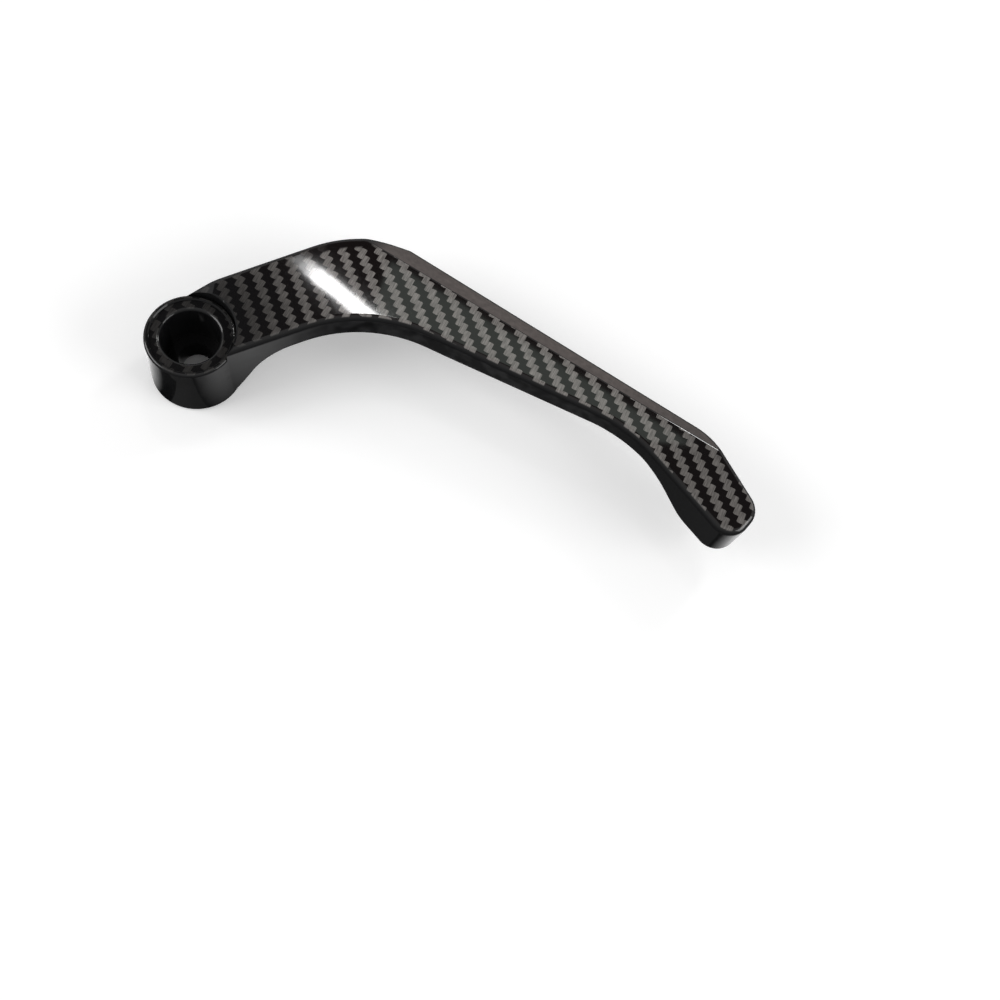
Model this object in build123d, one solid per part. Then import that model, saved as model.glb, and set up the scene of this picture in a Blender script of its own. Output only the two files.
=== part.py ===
"""Brake lever guard: one moulded arm with a counterbored boss that is bolted to the end of a handlebar.

The boss axis is Z and its back face, which meets the bar end, is at Z = 0.
X runs from the boss axis to the tip, and the arm bows out towards +Y.
"""

from build123d import *
import math
import os

# Boss: a round hub with a bolt pocket, open at the top
boss_diameter = 22.0
boss_height = 18.7
boss_draft = 1.3
lip_width = 1.25
spot_face_depth = 0.6
pocket_diameter = 14.1
pocket_floor = 6.0
bolt_hole_diameter = 8.3

# Arm seen from above: headings in degrees from X, offsets to the two sides of the boss axis
shoulder_heading = 43.0
shoulder_outer_offset = 10.7
shoulder_inner_offset = 9.4
elbow_outer = (26.8, 40.8)
elbow_outer_radius = 33.0
crown = (41.4, 42.2)
crown_radius = 3.0
bend_outer = (127.3, 20.3)
bend_outer_radius = 14.0
tip_outer = (144.0, 4.5)
tip_inner = (139.2, -6.9)
tip_radius = 5.5
bend_inner = (107.3, 13.6)
bend_inner_radius = 40.0
elbow_inner = (37.2, 21.6)
elbow_inner_radius = 36.0

# Arm seen from the side: its top is flat, it thins from root to bend, and the tip hangs down
top_rise = 3.0
root_thickness = 7.6
bend_thickness = 6.2
tip_thickness = 12.7
taper_start = 58.0
taper_radius = 60.0
tip_heading = -38.0
tip_ramp_end = 99.2
tip_ramp_slope = 30.0
tip_ramp_radius = 9.0
arch_radius = 20.0

# Flare that carries the boss into the underside of the arm
flare_foot = 1.2
flare_slope = 64.0
flare_radius = 10.0

# Bevel along the outer edge, and the ramp from the raised top to the boss rim
bevel_width_crown = 5.5
bevel_width_bend = 3.5
bevel_slope = 25.0
bevel_blend_radius = 2.0
ramp_start = 10.5
ramp_heading = 200.0
ramp_slope = 23.0
ramp_blend_radius = 8.0

# Edges: rounded where they are handled, chamfered at the foot, the lip and the crest
top_edge_radius = 1.6
under_edge_radius = 1.0
rim_radius = 0.8
pocket_edge_radius = 1.0
foot_chamfer = 0.8
lip_chamfer = 0.3
crest_chamfer = 0.4

boss_radius = boss_diameter / 2
foot_radius = boss_radius + boss_height * math.tan(math.radians(boss_draft))
pocket_radius = pocket_diameter / 2
lip_inner_radius = boss_radius - lip_width
face_height = boss_height - spot_face_depth
top_height = boss_height + top_rise
root_underside = top_height - root_thickness
tip_underside = top_height - tip_thickness
reach = 4 * tip_outer[0]
STANDING = (Align.CENTER, Align.CENTER, Align.MIN)
HANGING = (Align.CENTER, Align.CENTER, Align.MAX)


def along(heading, distance, height=0.0, offset=0.0):
    """Point at a distance along a heading from the boss axis, at a height, and offset to the left."""
    angle = math.radians(heading)
    x = distance * math.cos(angle) - offset * math.sin(angle)
    y = distance * math.sin(angle) + offset * math.cos(angle)
    return Vector(x, y, height)


def slope(angle):
    """Rise over run of a slope given in degrees."""
    return math.tan(math.radians(angle))


def sloping_block(point, heading, angle, align):
    """Everything above or below a plane through a point that falls towards a heading."""
    normal = along(heading, math.sin(math.radians(angle)), math.cos(math.radians(angle)))
    plane = Plane(origin=point, x_dir=along(heading + 90, 1), z_dir=normal)
    return plane * Box(reach, reach, reach, align=align)


def edge_at(shape, point):
    """The edge of a shape that passes through a point."""
    return shape.edges().sort_by_distance(point)[0]


def rounded_at(shape, point, radius):
    """Shape with the edge through a point rounded, and those that run on smoothly from it."""
    return shape.solid().fillet(radius, [edge_at(shape, point)]).solid()


def chamfered_at(shape, point, width):
    """Shape with the edge that passes through a point chamfered."""
    return shape.solid().chamfer(width, None, [edge_at(shape, point)]).solid()


def facing(face):
    """Whether a face looks up, down or sideways at its middle."""
    rise = round(face.normal_at(face.center()).Z, 2)
    return "up" if rise > 0 else "down" if rise < 0 else "sideways"


def distance_from_axis(shape):
    """Level distance of the middle of a face or edge from the boss axis."""
    return math.hypot(shape.center().X, shape.center().Y)


def meeting_edges(solid, chosen, others):
    """Edges of a solid where a chosen face meets one of the others."""
    return [
        edge
        for edge in solid.edges()
        if any(edge.is_same(side) for face in chosen for side in face.edges())
        and any(edge.is_same(side) for face in others for side in face.edges())
    ]


def plan():
    """Outline of the arm seen from above: straight edges with rounded corners."""
    corners = [
        along(shoulder_heading, 0, offset=shoulder_outer_offset),
        elbow_outer,
        crown,
        bend_outer,
        tip_outer,
        tip_inner,
        bend_inner,
        elbow_inner,
        along(shoulder_heading, 0, offset=-shoulder_inner_offset),
    ]
    radii = [
        elbow_outer_radius,
        crown_radius,
        bend_outer_radius,
        tip_radius,
        tip_radius,
        bend_inner_radius,
        elbow_inner_radius,
    ]
    edge = FilletPolyline(*corners, radius=radii)
    closing = Line(corners[-1], corners[0])
    return make_face([*edge.edges(), closing])


def flat_topped_arm(bottom):
    """Arm down to a depth, with its bevel, the ramp down to the boss and rounded top edges."""
    run = (Vector(bend_outer) - Vector(crown)).normalized()
    inward = Vector(run.Y, -run.X)
    bevel_start = Vector(crown) + inward * bevel_width_crown
    bevel_end = Vector(bend_outer) + inward * bevel_width_bend
    line = bevel_end - bevel_start
    heading = math.degrees(math.atan2(line.Y, line.X)) + 90
    top = Vector(0, 0, top_height)
    bevel = sloping_block(bevel_start + top, heading, bevel_slope, STANDING)
    knuckle = along(shoulder_heading, ramp_start, top_height, shoulder_outer_offset)
    ramp = sloping_block(knuckle, ramp_heading, ramp_slope, STANDING)
    arm = Pos(0, 0, bottom) * extrude(plan(), top_height - bottom) - bevel - ramp
    arm = rounded_at(arm, knuckle + along(ramp_heading + 90, boss_radius / 2), ramp_blend_radius)
    arm = rounded_at(arm, (bevel_start + bevel_end) / 2 + top, bevel_blend_radius)
    inner_run = (Vector(elbow_inner) + Vector(bend_inner)) / 2
    return rounded_at(arm, inner_run + top, top_edge_radius)


def space_below(heading, points, radius):
    """Everything below a line of three points, rounded at the second, seen across a heading."""
    line = FilletPolyline(*points, radius=radius)
    rest = Polyline(points[2], (reach, -reach), (-reach, -reach), (-reach, points[0][1]), points[0])
    side = Plane(origin=(0, 0, 0), x_dir=along(heading, 1), z_dir=along(heading - 90, 1))
    return extrude(side * make_face([*line.edges(), *rest.edges()]), reach, both=True)


def hollow_underneath(flare_apex):
    """Space under the arm, which arches between the flare round the boss and the thick tip."""
    thinning = (root_thickness - bend_thickness) / (bend_inner[0] - taper_start)
    arm_end = root_underside + (reach - taper_start) * thinning
    arm_line = [(0, root_underside), (taper_start, root_underside), (reach, arm_end)]
    ramp_top = (tip_ramp_end - tip_thickness / slope(tip_ramp_slope), top_height)
    tip_line = [ramp_top, (tip_ramp_end, tip_underside), (reach, tip_underside)]
    hollow = space_below(0, arm_line, taper_radius) & space_below(tip_heading, tip_line, tip_ramp_radius)

    thinning_to_tip = thinning * math.cos(math.radians(tip_heading))
    drop = tip_underside + tip_ramp_end * slope(tip_ramp_slope) - root_underside + taper_start * thinning
    arch_distance = drop / (slope(tip_ramp_slope) + thinning_to_tip)
    arch_height = tip_underside + (tip_ramp_end - arch_distance) * slope(tip_ramp_slope)
    hollow = rounded_at(hollow, along(tip_heading, arch_distance, arch_height), arch_radius)

    flare_height = top_height - flare_apex
    flare_reach = flare_height / slope(flare_slope)
    flare = Pos(0, 0, flare_apex) * Cone(0, flare_reach, flare_height, align=STANDING)
    root_distance = (root_underside - flare_apex) / slope(flare_slope)
    flare_root = along(shoulder_heading, root_distance, root_underside)
    return rounded_at(hollow - flare, flare_root, flare_radius)


def arm_with_underside():
    """Arm with the hollow taken out of it and the edges underneath rounded."""
    flare_apex = flare_foot - foot_radius * slope(flare_slope)
    arm = flat_topped_arm(flare_apex) - hollow_underneath(flare_apex)
    lower = [face for face in arm.faces() if facing(face) == "down"]
    upright = [face for face in arm.faces() if facing(face) == "sideways"]
    walls = [face for face in upright if distance_from_axis(face) > boss_radius]
    arm = arm.solid().fillet(under_edge_radius, meeting_edges(arm, lower, walls))
    return arm - Pos(0, 0, foot_chamfer) * Box(reach, reach, reach, align=HANGING)


def boss_seat():
    """Space above the boss, which ends the raised top in a crescent with a chamfered crest."""
    bottom = boss_height - rim_radius
    crest = top_height - crest_chamfer
    outline = Polyline(
        (0, bottom),
        (boss_radius, bottom),
        (boss_radius, crest),
        (boss_radius + reach, crest + reach),
        (0, crest + reach),
        close=True,
    )
    return revolve(Plane.XZ * make_face(outline), Axis.Z)


def guard_arm():
    """The whole moulding: the arm, the boss, and the pocket and bolt hole down the boss."""
    away = shoulder_heading + 180
    boss = Cone(foot_radius, boss_radius, boss_height, align=STANDING)
    boss = chamfered_at(boss, along(away, foot_radius), foot_chamfer)
    boss = rounded_at(boss, along(away, boss_radius, boss_height), rim_radius)
    guard = arm_with_underside() - boss_seat() + boss
    guard -= Pos(0, 0, face_height) * Cylinder(lip_inner_radius, reach, align=STANDING)
    guard -= Pos(0, 0, pocket_floor) * Cylinder(pocket_radius, reach, align=STANDING)
    guard -= Cylinder(bolt_hole_diameter / 2, reach)
    guard = chamfered_at(guard, along(away, lip_inner_radius, boss_height), lip_chamfer)
    return rounded_at(guard, along(away, pocket_radius, face_height), pocket_edge_radius)


os.makedirs("parts", exist_ok=True)
guard = guard_arm()
export_step(guard, "parts/guard_arm.step")
size = guard.bounding_box().size
print(f"guard_arm {size.X:.1f} x {size.Y:.1f} x {size.Z:.1f} mm, volume {guard.volume:.0f} mm3")
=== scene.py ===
# %% [markdown]
# # A brake lever guard
# The guard is one plastic moulding: a round boss that is bolted to the end of a handlebar, and a
# bent arm that passes in front of the brake lever. The imported model already has its true shape,
# so this lesson adds the finish: a carbon weave print under a thick gloss clear coat.
# We load the model as a fixed frame.

# %% Load the frame
import math
import bmesh
import bpy
import numpy as np
from mathutils import Matrix, Quaternion, Vector


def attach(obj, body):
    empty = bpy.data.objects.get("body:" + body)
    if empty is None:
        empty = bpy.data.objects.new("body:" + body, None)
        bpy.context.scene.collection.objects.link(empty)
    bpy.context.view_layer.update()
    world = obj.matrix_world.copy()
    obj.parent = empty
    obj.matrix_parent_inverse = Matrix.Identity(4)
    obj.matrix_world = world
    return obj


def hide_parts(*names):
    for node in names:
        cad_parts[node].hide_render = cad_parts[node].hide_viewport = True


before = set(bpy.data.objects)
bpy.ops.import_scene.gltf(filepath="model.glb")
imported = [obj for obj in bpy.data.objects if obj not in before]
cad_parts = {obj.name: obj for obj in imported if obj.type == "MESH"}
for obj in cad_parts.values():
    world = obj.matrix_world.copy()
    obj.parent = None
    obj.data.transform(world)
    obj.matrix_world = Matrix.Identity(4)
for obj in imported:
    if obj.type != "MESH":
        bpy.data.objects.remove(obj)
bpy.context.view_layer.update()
MM = 0.001

# %% [markdown]
# ## Camera
# A camera is a place and a direction. The picture that this scene follows looks down on
# the guard from the side of its open inner curve, about 69 degrees below the level, and is turned
# a little, so the arm runs downhill to the right. The three axes of the camera go straight into
# its matrix: right, up, and backwards, because a Blender camera looks along its own -Z.
# The plain view transform shows each colour as it is written.

# %% Camera
CAMERA_PLACE = Vector((75.7, -112.6, 273.2)) * MM
CAMERA_FORWARD = Vector((0.027, 0.3611, -0.9321)).normalized()
CAMERA_UP = Vector((-0.3268, 0.8844, 0.3331))
LENS_MM = 41.4

camera_right = CAMERA_FORWARD.cross(CAMERA_UP).normalized()
camera_up = camera_right.cross(CAMERA_FORWARD)
camera = bpy.data.objects.new("camera", bpy.data.cameras.new("camera"))
camera.data.lens = LENS_MM
camera.data.clip_start = MM
turn = Matrix((camera_right, camera_up, -CAMERA_FORWARD)).transposed()
camera.matrix_world = Matrix.Translation(CAMERA_PLACE) @ turn.to_4x4()
bpy.context.scene.collection.objects.link(camera)
bpy.context.scene.camera = camera
bpy.context.scene.view_settings.view_transform = "Standard"
print("camera looks down by", round(math.degrees(math.asin(-CAMERA_FORWARD.z))), "degrees")

# %% [markdown]
# ## The moulding
# A clear coat is a mirror, and a mirror shows every facet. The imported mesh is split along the
# borders of its faces, so its shading breaks there. A new shape could be built in its place, but
# this one is already true, so we take a copy and merge the doubled corners. Its form stays.

# %% Merged copy of the moulding
MERGE_DISTANCE = 0.001 * MM

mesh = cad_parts["guard_arm"].data.copy()
mesh.name = "moulded_guard"
work = bmesh.new()
work.from_mesh(mesh)
bmesh.ops.remove_doubles(work, verts=work.verts, dist=MERGE_DISTANCE)
work.faces.index_update()
work.normal_update()
print("moulding:", len(mesh.vertices), "corners, merged to", len(work.verts))

# %% [markdown]
# ## Flat patches
# A normal that is the plain mean of the faces round a corner leans the large flat faces over, and
# the top of the guard would look like a cushion. So a face will count with the area of the whole
# flat patch that it belongs to. A patch grows from a seed face to its neighbours, for as long as
# they look the same way as the seed.

# %% Area of the flat patch of each face
FLAT_ANGLE = math.radians(0.5)


def neighbours(face, corner=None):
    """Faces that share an edge with a face, and only edges that end at a corner if one is given."""
    edges = [edge for edge in face.edges if corner is None or corner in edge.verts]
    return [other for edge in edges for other in edge.link_faces if other is not face]


def patch_areas(faces):
    """Area of the flat patch of each face: all that can be reached and look the same way as it."""
    areas = np.zeros(len(faces))
    for seed in faces:
        patch = [seed] if areas[seed.index] == 0 else []
        found = set(patch)
        for face in patch:
            for other in neighbours(face):
                if other not in found and other.normal.angle(seed.normal, 0) < FLAT_ANGLE:
                    found.add(other)
                    patch.append(other)
        areas[[face.index for face in patch]] = sum(face.calc_area() for face in patch)
    return areas


areas = patch_areas(work.faces)
print("largest flat patch:", round(areas.max() / MM ** 2), "square mm")

# %% [markdown]
# ## Normals
# Each corner of each face gets the mean normal of the faces that can be reached round it without
# a crease, weighted by those areas. Flat faces then stay quite flat, and the rounded edges run
# into them without a break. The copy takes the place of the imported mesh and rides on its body.

# %% Smooth normals and the finished piece
CREASE_ANGLE = math.radians(32)


def corner_normal(loop):
    """Mean normal round a corner, of the faces that can be reached from its own without a crease."""
    fan = [loop.face]
    for face in fan:
        for other in neighbours(face, loop.vert):
            if other not in fan and other.normal.angle(face.normal, 0) < CREASE_ANGLE:
                fan.append(other)
    return sum((face.normal * areas[face.index] for face in fan), Vector()).normalized()


normals = [corner_normal(loop) for face in work.faces for loop in face.loops]
work.to_mesh(mesh)
work.free()
mesh.shade_smooth()
mesh.normals_split_custom_set(normals)
guard = bpy.data.objects.new("moulded_guard", mesh)
bpy.context.scene.collection.objects.link(guard)
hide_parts("guard_arm")
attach(guard, "root")
print("finished piece:", len(mesh.polygons), "triangles,", len(normals), "corner normals")

# %% [markdown]
# ## Helpers for the finish
# Colours are easiest to choose as the hex values that a screen shows, but shaders work in linear
# light, so one function turns one into the other. Another adds a node: its settings, its input
# values and its links in one call. A third starts a material with an empty node tree.

# %% Colour, node and material helpers
def linear(hex_colour):
    """Linear RGBA of an sRGB hex colour: each channel through the screen's own curve."""
    share = np.array([int(hex_colour[i:i + 2], 16) for i in (1, 3, 5)]) / 255
    light = np.where(share <= 0.04045, share / 12.92, ((share + 0.055) / 1.055) ** 2.4)
    return (*light, 1.0)


def add(tree, kind, settings=None, **inputs):
    """A new node of a kind, with its settings, and with inputs that are values, sockets or nodes.

    An input is named by its label with _ for spaces, or by its number as in_0, in_1 and so on.
    A node stands for the first of its outputs that is in use.
    """
    node = tree.nodes.new(kind)
    for name, value in (settings or {}).items():
        setattr(node, name, value)
    for name, value in inputs.items():
        key = int(name[3:]) if name.startswith("in_") else name.replace("_", " ")
        if isinstance(value, bpy.types.Node):
            value = next(output for output in value.outputs if output.enabled)
        if isinstance(value, bpy.types.NodeSocket):
            tree.links.new(value, node.inputs[key])
        else:
            node.inputs[key].default_value = value
    return node


def bare_material(name):
    """A new material without nodes, and its node tree."""
    material = bpy.data.materials.new(name)
    material.use_nodes = True
    material.node_tree.nodes.clear()
    return material, material.node_tree


print("mid grey #808080 is", round(linear("#808080")[0], 3), "in linear light")

# %% [markdown]
# ## The weave
# The guard isn't woven. It is moulded in ABS, dipped through a printed film that floats on water,
# and sprayed with clear coat. The film shows a twill: each light thread runs over two dark ones
# and under two, and each thread steps on by one, so the light floats line up in slanting stairs.
# An image could hold the pattern, but four sums draw it sharp at any size. With one thread's
# width as the unit, thread number plus place along it, counted in fours, tells where a float's
# middle is. A float dives at both ends, so it is a little short there, most of all at its corners.

# %% Threads and floats
THREAD_MM = 1.56
WEAVE_ANGLE = math.radians(-8)
TWILL_REPEAT = 4.0
THREAD_MIDDLE = 0.5
FLOAT_MIDDLE = 1.0
HALF_FLOAT = {"To_Min": 0.86, "To_Max": 0.96}
CUT_CORNER = 0.2

# Gloss lacquer over matt ink: white reflections with sharp edges, over a pattern that has no shine
finish, tree = bare_material("moulded ABS with carbon weave print and gloss clear coat")
place = add(tree, "ShaderNodeTexCoord")
cells = add(
    tree, "ShaderNodeMapping", {"vector_type": "TEXTURE"},
    Vector=place.outputs["Object"],
    Rotation=(0, 0, WEAVE_ANGLE),
    Scale=(THREAD_MM * MM,) * 3,
)
spot_in_cells = add(tree, "ShaderNodeSeparateXYZ", Vector=cells)
across = spot_in_cells.outputs["X"]
thread_number = add(tree, "ShaderNodeMath", {"operation": "FLOOR"}, in_0=across)
count = add(tree, "ShaderNodeMath", in_0=thread_number, in_1=spot_in_cells.outputs["Y"])
step = add(tree, "ShaderNodeMath", {"operation": "FLOORED_MODULO"}, in_0=count, in_1=TWILL_REPEAT)
from_side = add(tree, "ShaderNodeMath", {"operation": "PINGPONG"}, in_0=across, in_1=THREAD_MIDDLE)
half_float = add(tree, "ShaderNodeMapRange", Value=from_side, From_Max=CUT_CORNER, **HALF_FLOAT)
on_float = add(
    tree, "ShaderNodeMath", {"operation": "COMPARE"},
    in_0=step, in_1=FLOAT_MIDDLE, in_2=half_float,
)
repeat_mm = TWILL_REPEAT * THREAD_MM
print("weave: a float is about", repeat_mm / 2, "mm long, stairs repeat every", repeat_mm, "mm")

# %% [markdown]
# ## Shaded threads
# A float is shaded like a thread: lighter along its middle, with fine filaments that run along
# it. Noise that is stretched along the thread gives the filaments.

# %% Colours of the threads
LIGHT_THREAD = "#777370"
DARK_THREAD = "#120d0d"
# A carbon filament is about 0.007 mm thick, too fine to show, so far coarser ones are drawn
FILAMENT_CELLS = (7.0, 0.6, 1.0)
FILAMENT_SHADE = {"From_Min": 0.25, "From_Max": 0.75, "To_Min": 0.55, "To_Max": 1.25}
ROUND_SHADE = {"From_Max": 0.25, "To_Min": 0.88, "To_Max": 1.03}
PRODUCT = {"operation": "MULTIPLY"}
COLOURS = {"data_type": "RGBA"}

filament_cells = add(
    tree, "ShaderNodeMapping", {"vector_type": "POINT"}, Vector=cells, Scale=FILAMENT_CELLS,
)
filaments = add(
    tree, "ShaderNodeTexNoise", {"noise_dimensions": "2D"},
    Vector=filament_cells, Scale=1.0, Detail=1.0,
)
filament_shade = add(
    tree, "ShaderNodeMapRange", Value=filaments.outputs["Fac"], **FILAMENT_SHADE,
)
round_shade = add(tree, "ShaderNodeMapRange", Value=from_side, **ROUND_SHADE)
both_shades = add(tree, "ShaderNodeMath", PRODUCT, in_0=filament_shade, in_1=round_shade)
thread = add(
    tree, "ShaderNodeMix", {"data_type": "RGBA", "blend_type": "MULTIPLY"},
    Factor=1.0, in_6=linear(LIGHT_THREAD), in_7=both_shades,
)
weave = add(
    tree, "ShaderNodeMix", COLOURS, Factor=on_float, in_6=linear(DARK_THREAD), in_7=thread,
)
print("filaments: one every", round(THREAD_MM / FILAMENT_CELLS[0], 2), "mm across a thread")

# %% [markdown]
# ## Stretched film, painted sheen and dark edge
# The film only lies flat on the top. Along the bevel it is stretched until the threads run into
# one plain grey brown, and a painted sheen, the reflection of a bright place, lightens that grey.
# A painted dark reflection lies along the crease and the outer edge of the top. How far the
# surface leans out over the outer edge tells top, dark edge and bevel apart: it is the surface's
# direction times the heading of the bevel. A mask painted by hand could say the same, but
# wouldn't follow a change of shape.

# %% Seam and bevel
# Painted dark reflection along the crease and the outer edge of the top
DARK_EDGE_REFLECTION = "#100b0b"
# Stretched print with a painted sheen in its grey brown
STRETCHED_DARK_WITH_SHEEN = "#3f3734"
STRETCHED_LIGHT_WITH_SHEEN = "#6d635f"
STREAK_SIZE = 1.5 * MM
BEVEL_HEADING = math.radians(115)
DARK_EDGE_LEAN = {"From_Min": 0.16, "From_Max": 0.22}
BEVEL_LEAN = {"From_Min": 0.25, "From_Max": 0.31}
CROWN_START = {"From_Min": 30 * MM, "From_Max": 36 * MM}
SMOOTH = {"interpolation_type": "SMOOTHSTEP"}

spot = add(tree, "ShaderNodeSeparateXYZ", Vector=place.outputs["Object"])
outwards = (math.cos(BEVEL_HEADING), math.sin(BEVEL_HEADING), 0)
leans_out = add(
    tree, "ShaderNodeVectorMath", {"operation": "DOT_PRODUCT"},
    in_0=place.outputs["Normal"], in_1=outwards,
)
# Where the dark reflection is painted on the outward-leaning rounding
in_dark_edge = add(tree, "ShaderNodeMapRange", SMOOTH, Value=leans_out, **DARK_EDGE_LEAN)
film = add(tree, "ShaderNodeMix", COLOURS, Factor=in_dark_edge, in_6=weave, in_7=linear(DARK_EDGE_REFLECTION))
streaks = add(
    tree, "ShaderNodeTexNoise",
    Vector=place.outputs["Object"], Scale=1 / STREAK_SIZE, Detail=3.0,
)
# Grey brown of the bevel: stretched print and painted sheen
stretched_print_and_sheen = add(
    tree, "ShaderNodeMix", COLOURS,
    Factor=streaks.outputs["Fac"], in_6=linear(STRETCHED_DARK_WITH_SHEEN), in_7=linear(STRETCHED_LIGHT_WITH_SHEEN),
)
past_dark_edge = add(tree, "ShaderNodeMapRange", SMOOTH, Value=leans_out, **BEVEL_LEAN)
from_crown = add(tree, "ShaderNodeMapRange", SMOOTH, Value=spot.outputs["X"], **CROWN_START)
on_bevel = add(tree, "ShaderNodeMath", PRODUCT, in_0=past_dark_edge, in_1=from_crown)
film = add(tree, "ShaderNodeMix", COLOURS, Factor=on_bevel, in_6=film, in_7=stretched_print_and_sheen)
print("the seam starts where the surface leans out by", DARK_EDGE_LEAN["From_Min"])

# %% [markdown]
# ## Painted dark band of the elbow
# Along the outside of the elbow a dark band is painted: the dark reflection that a rounding wider
# than the model's would show there. The band follows the bend, so the distance from the middle of
# the bend gives it, between the root of the arm and the start of the bevel. Shares between 0 and 1
# are multiplied where all of them have to hold.

# %% Dark border of the elbow
ELBOW_CENTRE = (41.4 * MM, 9.1 * MM, 0)
ELBOW_PRINT_EDGE = 29.4 * MM
DARK_BAND_WIDTH = 0.8 * MM
ROOT_END = {"From_Min": 10 * MM, "From_Max": 24 * MM}
BEVEL_START = {"From_Min": 30 * MM, "From_Max": 37 * MM}
FALLING = {"To_Min": 1.0, "To_Max": 0.0}


def level_distance(centre):
    """A node with the distance from an upright axis: length of the offset with its height left out."""
    offset = add(
        tree, "ShaderNodeVectorMath", {"operation": "SUBTRACT"},
        in_0=place.outputs["Object"], in_1=centre,
    )
    level = add(tree, "ShaderNodeVectorMath", PRODUCT, in_0=offset, in_1=(1, 1, 0))
    return add(tree, "ShaderNodeVectorMath", {"operation": "LENGTH"}, in_0=level)


# Painted dark reflection of a wide rounding along the outside of the elbow
painted_dark = add(
    tree, "ShaderNodeMapRange", SMOOTH,
    Value=level_distance(ELBOW_CENTRE),
    From_Min=ELBOW_PRINT_EDGE,
    From_Max=ELBOW_PRINT_EDGE + DARK_BAND_WIDTH,
)
from_root = add(tree, "ShaderNodeMapRange", SMOOTH, Value=spot.outputs["X"], **ROOT_END)
to_bevel = add(
    tree, "ShaderNodeMapRange", SMOOTH, Value=spot.outputs["X"], **BEVEL_START, **FALLING,
)
for share in (from_root, to_bevel):
    painted_dark = add(tree, "ShaderNodeMath", PRODUCT, in_0=painted_dark, in_1=share)
film = add(tree, "ShaderNodeMix", COLOURS, Factor=painted_dark, in_6=film, in_7=linear(DARK_EDGE_REFLECTION))
# Distance of the painted dark band from the middle of the bend
print("the film is torn", round(ELBOW_PRINT_EDGE / MM, 1), "mm from the middle of the bend")

# %% [markdown]
# ## Where the film takes, and painted shade on it
# The film takes on what faces up, outside the pocket. It is thin and dark on the boss. Out to the
# elbow the print is darkened further as painted shade, it is full from the elbow on, and a little
# painted shade darkens it again at the tip, so that the middle of the arm looks lit.

# %% Share of the print
FACES_UP = {"From_Min": 0.82, "From_Max": 0.95}
ABOVE_POCKET = {"From_Min": 16 * MM, "From_Max": 17 * MM}
# Thin print on the boss, then painted shade on the print out to the elbow
THIN_ON_BOSS_AND_SHADE = {"From_Min": 8 * MM, "From_Max": 45 * MM, "To_Min": 0.12}
# Painted shade on the print towards the tip
SHADE_BEFORE_TIP = {"From_Min": 105 * MM, "From_Max": 125 * MM, "To_Min": 1.0, "To_Max": 0.72}

looks = add(tree, "ShaderNodeSeparateXYZ", Vector=place.outputs["Normal"])
printed = add(tree, "ShaderNodeMapRange", SMOOTH, Value=looks.outputs["Z"], **FACES_UP)
above_pocket = add(tree, "ShaderNodeMapRange", SMOOTH, Value=spot.outputs["Z"], **ABOVE_POCKET)
thin_on_boss_and_shade = add(
    tree, "ShaderNodeMapRange", SMOOTH, Value=level_distance((0, 0, 0)), **THIN_ON_BOSS_AND_SHADE,
)
shade_before_tip = add(tree, "ShaderNodeMapRange", SMOOTH, Value=spot.outputs["X"], **SHADE_BEFORE_TIP)
for share in (above_pocket, thin_on_boss_and_shade, shade_before_tip):
    printed = add(tree, "ShaderNodeMath", PRODUCT, in_0=printed, in_1=share)
print("share of the print:", THIN_ON_BOSS_AND_SHADE["To_Min"], "on the boss,", SHADE_BEFORE_TIP["To_Max"], "at the tip")

# %% [markdown]
# ## Walls
# Over the edge the film tears. The walls of the arm only have dark smears of it, in clouds of a
# few millimetres, and the boss, its pocket and the thick tip stay the black of the plastic.

# %% Smears on bare plastic
BARE_BLACK = "#101011"
SMEARED_GREY = "#262627"
CLOUD_SIZE = 3.5 * MM
CLOUD_EDGE = {"From_Min": 0.35, "From_Max": 0.68}
LEANING_BACK = {"From_Min": 0.1, "From_Max": 0.4}
SMEARS_END = {"From_Min": 95 * MM, "From_Max": 112 * MM}

clouds = add(
    tree, "ShaderNodeTexNoise",
    Vector=place.outputs["Object"], Scale=1 / CLOUD_SIZE, Detail=1.0,
)
smears = add(tree, "ShaderNodeMapRange", SMOOTH, Value=clouds.outputs["Fac"], **CLOUD_EDGE)
on_wall = add(
    tree, "ShaderNodeMapRange", SMOOTH, Value=looks.outputs["Z"], **LEANING_BACK, **FALLING,
)
on_arm = add(
    tree, "ShaderNodeMapRange", SMOOTH, Value=spot.outputs["X"], **SMEARS_END, **FALLING,
)
for share in (on_wall, on_arm, thin_on_boss_and_shade):
    smears = add(tree, "ShaderNodeMath", PRODUCT, in_0=smears, in_1=share)
walls = add(
    tree, "ShaderNodeMix", COLOURS,
    Factor=smears, in_6=linear(BARE_BLACK), in_7=linear(SMEARED_GREY),
)
colour = add(tree, "ShaderNodeMix", COLOURS, Factor=printed, in_6=walls, in_7=film)
print("smears: clouds of", round(CLOUD_SIZE / MM, 1), "mm")

# %% [markdown]
# ## Clear coat
# Clear coat is sprayed from above: thick and mirror smooth on top, thinner down the walls. It
# never dries quite flat, so long shallow waves bend the edges of what it mirrors.
# The print under it is matt ink, so it gets a high roughness and hardly any gloss of its own.

# %% Clear coat over the print
INK_ROUGHNESS = 0.5
INK_GLOSS = 0.05
LACQUER_ROUGHNESS = 0.04
LACQUER_IOR = 1.5
THICK_COAT = {"From_Min": 0.6, "From_Max": 0.95, "To_Min": 0.35}
WAVE_LENGTH = 5 * MM
WAVE_HEIGHT = 0.003 * MM

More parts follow.
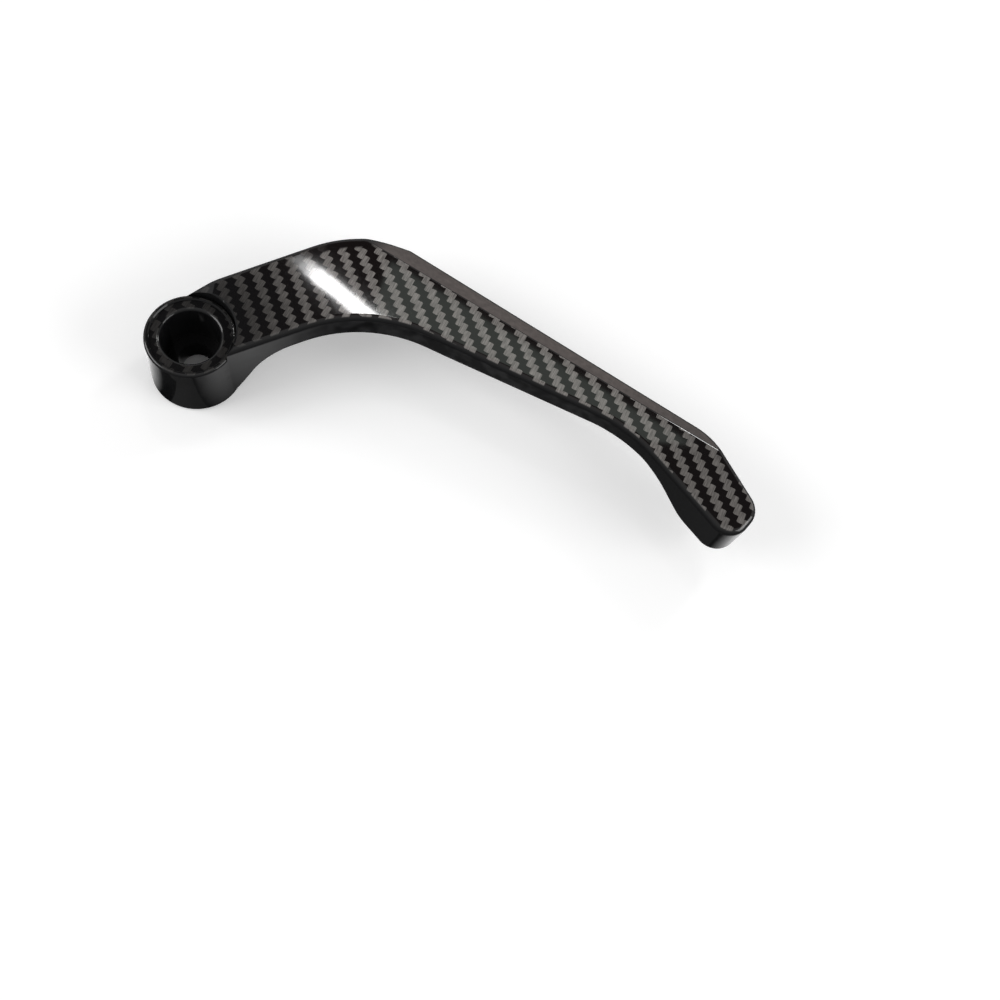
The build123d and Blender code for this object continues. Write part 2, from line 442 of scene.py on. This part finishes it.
waves = add(
    tree, "ShaderNodeTexNoise",
    Vector=place.outputs["Object"], Scale=1 / WAVE_LENGTH, Detail=0.0,
)
wavy = add(
    tree, "ShaderNodeBump", Strength=1.0, Distance=WAVE_HEIGHT, Height=waves.outputs["Fac"],
)
surface = add(
    tree, "ShaderNodeBsdfPrincipled",
    Base_Color=colour,
    Roughness=INK_ROUGHNESS,
    Specular_IOR_Level=INK_GLOSS,
    Coat_Weight=add(tree, "ShaderNodeMapRange", SMOOTH, Value=looks.outputs["Z"], **THICK_COAT),
    Coat_Roughness=LACQUER_ROUGHNESS,
    Coat_IOR=LACQUER_IOR,
    Coat_Normal=wavy,
)
add(tree, "ShaderNodeOutputMaterial", Surface=surface)
mesh.materials.clear()
mesh.materials.append(finish)
print("finish:", finish.name, "with", len(tree.nodes), "nodes")

# %% [markdown]
# ## Table
# The guard lies on white paper. The paper adds a little light of its own, but only to what the
# camera sees directly, so the picture has a white ground and the guard keeps its shadow.
# Under the bolt hole it has none, so the hole stays as dark as it is in a real boss. In the clear
# coat the paper shows darker than it is, like the dim room that gloss black needs around it.

# %% White paper
PAPER_COLOUR = "#f4f4f4"
PAPER_IN_GLOSS = "#7a7a7a"
PAPER_GLOW = 0.2
HOLE_SHADE = {"From_Min": 5 * MM, "From_Max": 10 * MM}

# Matt paper: an even white ground that takes a soft shadow and mirrors nothing
paper, paper_tree = bare_material("matt white paper")
ray = add(paper_tree, "ShaderNodeLightPath")
paper_place = add(paper_tree, "ShaderNodeTexCoord")
paper_colour = add(
    paper_tree, "ShaderNodeMix", COLOURS,
    Factor=ray.outputs["Is Glossy Ray"], in_6=linear(PAPER_COLOUR), in_7=linear(PAPER_IN_GLOSS),
)
matt = add(paper_tree, "ShaderNodeBsdfDiffuse", Color=paper_colour)
from_hole = add(
    paper_tree, "ShaderNodeVectorMath", {"operation": "LENGTH"}, in_0=paper_place.outputs["Object"],
)
open_paper = add(
    paper_tree, "ShaderNodeMapRange", Value=from_hole, To_Max=PAPER_GLOW, **HOLE_SHADE,
)
glow = add(
    paper_tree, "ShaderNodeMath", PRODUCT, in_0=ray.outputs["Is Camera Ray"], in_1=open_paper,
)
shine = add(paper_tree, "ShaderNodeEmission", Strength=glow)
both = add(paper_tree, "ShaderNodeAddShader", in_0=matt, in_1=shine)
add(paper_tree, "ShaderNodeOutputMaterial", Surface=both)
print("paper:", PAPER_COLOUR, "and", PAPER_IN_GLOSS, "in the clear coat")

# %% [markdown]
# ## Sheets
# The paper, and later the cards that the clear coat mirrors, are flat sheets with four corners.
# They belong to the stage and not to the guard.

# %% Lay the paper
PAPER_SIDES = (-450, -500, 600, 550)


def rectangle(left, front, right, back):
    """The four corners of a rectangle seen from above."""
    return [(left, front), (right, front), (right, back), (left, back)]


def sheet(name, corners, height, material):
    """A flat sheet of a material at a height, for the stage, with its corners in mm."""
    sheet_mesh = bpy.data.meshes.new(name)
    points = [(x * MM, y * MM, height * MM) for x, y in corners]
    sheet_mesh.from_pydata(points, [], [[0, 1, 2, 3]])
    sheet_mesh.materials.append(material)
    flat = bpy.data.objects.new(name, sheet_mesh)
    bpy.context.scene.collection.objects.link(flat)
    return flat


table = sheet("paper", rectangle(*PAPER_SIDES), 0, paper)
print("paper:", [round(side, 2) for side in table.dimensions[:2]], "m")

# %% [markdown]
# ## Room
# A dim even room fills the shadows. Where the camera looks past the paper it sees plain white.

# %% World
ROOM_LIGHT = 0.45
WHITE = (1.0, 1.0, 1.0, 1.0)

world = bpy.data.worlds.new("studio")
world.use_nodes = True
world_tree = world.node_tree
world_tree.nodes.clear()
seen = add(world_tree, "ShaderNodeLightPath").outputs["Is Camera Ray"]
room = add(world_tree, "ShaderNodeMapRange", Value=seen, To_Min=ROOM_LIGHT, To_Max=1.0)
sky = add(world_tree, "ShaderNodeBackground", Color=WHITE, Strength=room)
add(world_tree, "ShaderNodeOutputWorld", Surface=sky)
bpy.context.scene.world = world
print("room light:", ROOM_LIGHT)

# %% [markdown]
# ## Softboxes
# Large lamps at the left and the right light the print and the paper. A small one far back is
# placed by reflection: it lights the end of the bevel's crease. Each one is given by the
# brightness of its face, because that is what a mirror shows.

# %% Softboxes
MIDDLE = Vector((66, 16, 10))


def softbox(name, centre, width, height, radiance, aim=MIDDLE, spin=0.0):
    """An area lamp in mm that faces an aim, turned by a spin in degrees about the way it faces.

    Its power is radiance times pi times area.
    """
    lamp = bpy.data.lights.new(name, "AREA")
    lamp.shape = "RECTANGLE"
    lamp.size = width * MM
    lamp.size_y = height * MM
    lamp.energy = radiance * math.pi * lamp.size * lamp.size_y
    box = bpy.data.objects.new(name, lamp)
    box.location = Vector(centre) * MM
    box.rotation_mode = "QUATERNION"
    turned = Quaternion((0, 0, 1), math.radians(spin))
    box.rotation_quaternion = (Vector(aim) - Vector(centre)).to_track_quat("-Z", "Y") @ turned
    bpy.context.scene.collection.objects.link(box)


softbox("left_softbox", centre=(-660, -260, 500), width=600, height=500, radiance=4.2)
softbox("right_softbox", centre=(850, -50, 450), width=600, height=500, radiance=3.7)
softbox("crease_softbox", centre=(313, 542, 443), width=100, height=150, radiance=12.0)
print("softboxes:", [lamp.name for lamp in bpy.data.lights])

# %% [markdown]
# ## Band lamp
# From the camera, the flat top mirrors a patch of ceiling behind the guard. A narrow lamp there
# draws the white band across the elbow. The band fades out at one end, so the lamp goes on in
# short pieces that are each dimmer and narrower than the one before.

# %% Band lamp on the ceiling
CEILING_MM = 600
BAND_SPIN = -22.3
BAND_MIDDLE = (-62, 327)
FADE_START = (-104, 344)
FADE_STEP = 7
FADE_RADIANCE_AND_WIDTH = [(20, 12), (10, 11), (5, 9), (2, 7)]


def band_lamp(x, y, length, width, radiance):
    """A piece of the band lamp on the ceiling, which faces straight down."""
    softbox("band", (x, y, CEILING_MM), length, width, radiance, (x, y, 0), BAND_SPIN)


band_lamp(*BAND_MIDDLE, length=84, width=13, radiance=35)
for steps, (radiance, width) in enumerate(FADE_RADIANCE_AND_WIDTH):
    x = FADE_START[0] - steps * FADE_STEP * math.cos(math.radians(BAND_SPIN))
    y = FADE_START[1] - steps * FADE_STEP * math.sin(math.radians(BAND_SPIN))
    band_lamp(x, y, FADE_STEP, width, radiance)
print("band lamp: 1 piece and", len(FADE_RADIANCE_AND_WIDTH), "that fade")

# %% [markdown]
# ## Cards on the ceiling
# Gloss black is only as good as what it mirrors. A black card covers the patch of ceiling that
# the flat top mirrors, so the top stays dark. Below it a dim wedge, with a little green in it,
# veils the middle of the arm. Cards only show in the clear coat: they light nothing else and
# throw no shadow.

# %% Black card and veil
BLACK_CARD_SIDES = (-500, 120, 600, 600)
BLACK_CARD_MM = CEILING_MM + 20
VEIL_CORNERS = [(-48, 300), (192, 300), (236, 311), (-48, 379)]
VEIL_MM = CEILING_MM + 5
VEIL_TINT = (0.87, 1.0, 0.91, 1.0)
VEIL_RADIANCE = 0.85


def card(name, corners, height, radiance, colour=WHITE):
    """A card at a height that only shows in the clear coat, and the node that gives its light."""
    # Smooth card: one even tone in the mirror of the clear coat
    stock, stock_tree = bare_material(name)
    stock_shine = add(stock_tree, "ShaderNodeEmission", Color=colour, Strength=radiance)
    add(stock_tree, "ShaderNodeOutputMaterial", Surface=stock_shine)
    flat = sheet(name, corners, height, stock)
    flat.visible_camera = False
    flat.visible_diffuse = False
    flat.visible_shadow = False
    return stock_shine


card("black_card", rectangle(*BLACK_CARD_SIDES), BLACK_CARD_MM, 0.0)
card("veil_card", VEIL_CORNERS, VEIL_MM, VEIL_RADIANCE, VEIL_TINT)
print("cards on the ceiling at", BLACK_CARD_MM, "and", VEIL_MM, "mm")

# %% [markdown]
# ## Cards on the paper
# Small round cards on the paper draw bright edges along the boss, the gusset and the tip, as a
# photographer would. They fade towards their rims, so that no hard patch shows in the walls.

# %% Edge cards
EDGE_CARD_MM = 0.3


def edge_card(name, x, y, radius, radiance):
    """A round card on the paper that fades from its middle to nothing at its radius."""
    square = rectangle(x - radius, y - radius, x + radius, y + radius)
    edge_shine = card(name, square, EDGE_CARD_MM, radiance)
    edge_tree = edge_shine.id_data
    edge_place = add(edge_tree, "ShaderNodeTexCoord")
    disc = add(
        edge_tree, "ShaderNodeMapping", {"vector_type": "TEXTURE"},
        Vector=edge_place.outputs["Object"],
        Location=(x * MM, y * MM, 0),
        Scale=(radius * MM,) * 3,
    )
    fade = add(edge_tree, "ShaderNodeTexGradient", {"gradient_type": "SPHERICAL"}, Vector=disc)
    faded = add(edge_tree, "ShaderNodeMath", PRODUCT, in_0=fade.outputs["Fac"], in_1=radiance)
    edge_tree.links.new(faded.outputs["Value"], edge_shine.inputs["Strength"])


edge_card("boss_card", x=-22, y=1, radius=19, radiance=4.6)
edge_card("gusset_card", x=29, y=-12, radius=22, radiance=2.1)
edge_card("tip_card", x=154, y=-2, radius=17, radiance=3.5)
print("cards:", [stock.name for stock in bpy.data.materials if stock.name.endswith("card")])

# %% [markdown]
# ## Update
# The last line brings the scene up to date.

# %% Update the scene
bpy.context.view_layer.update()
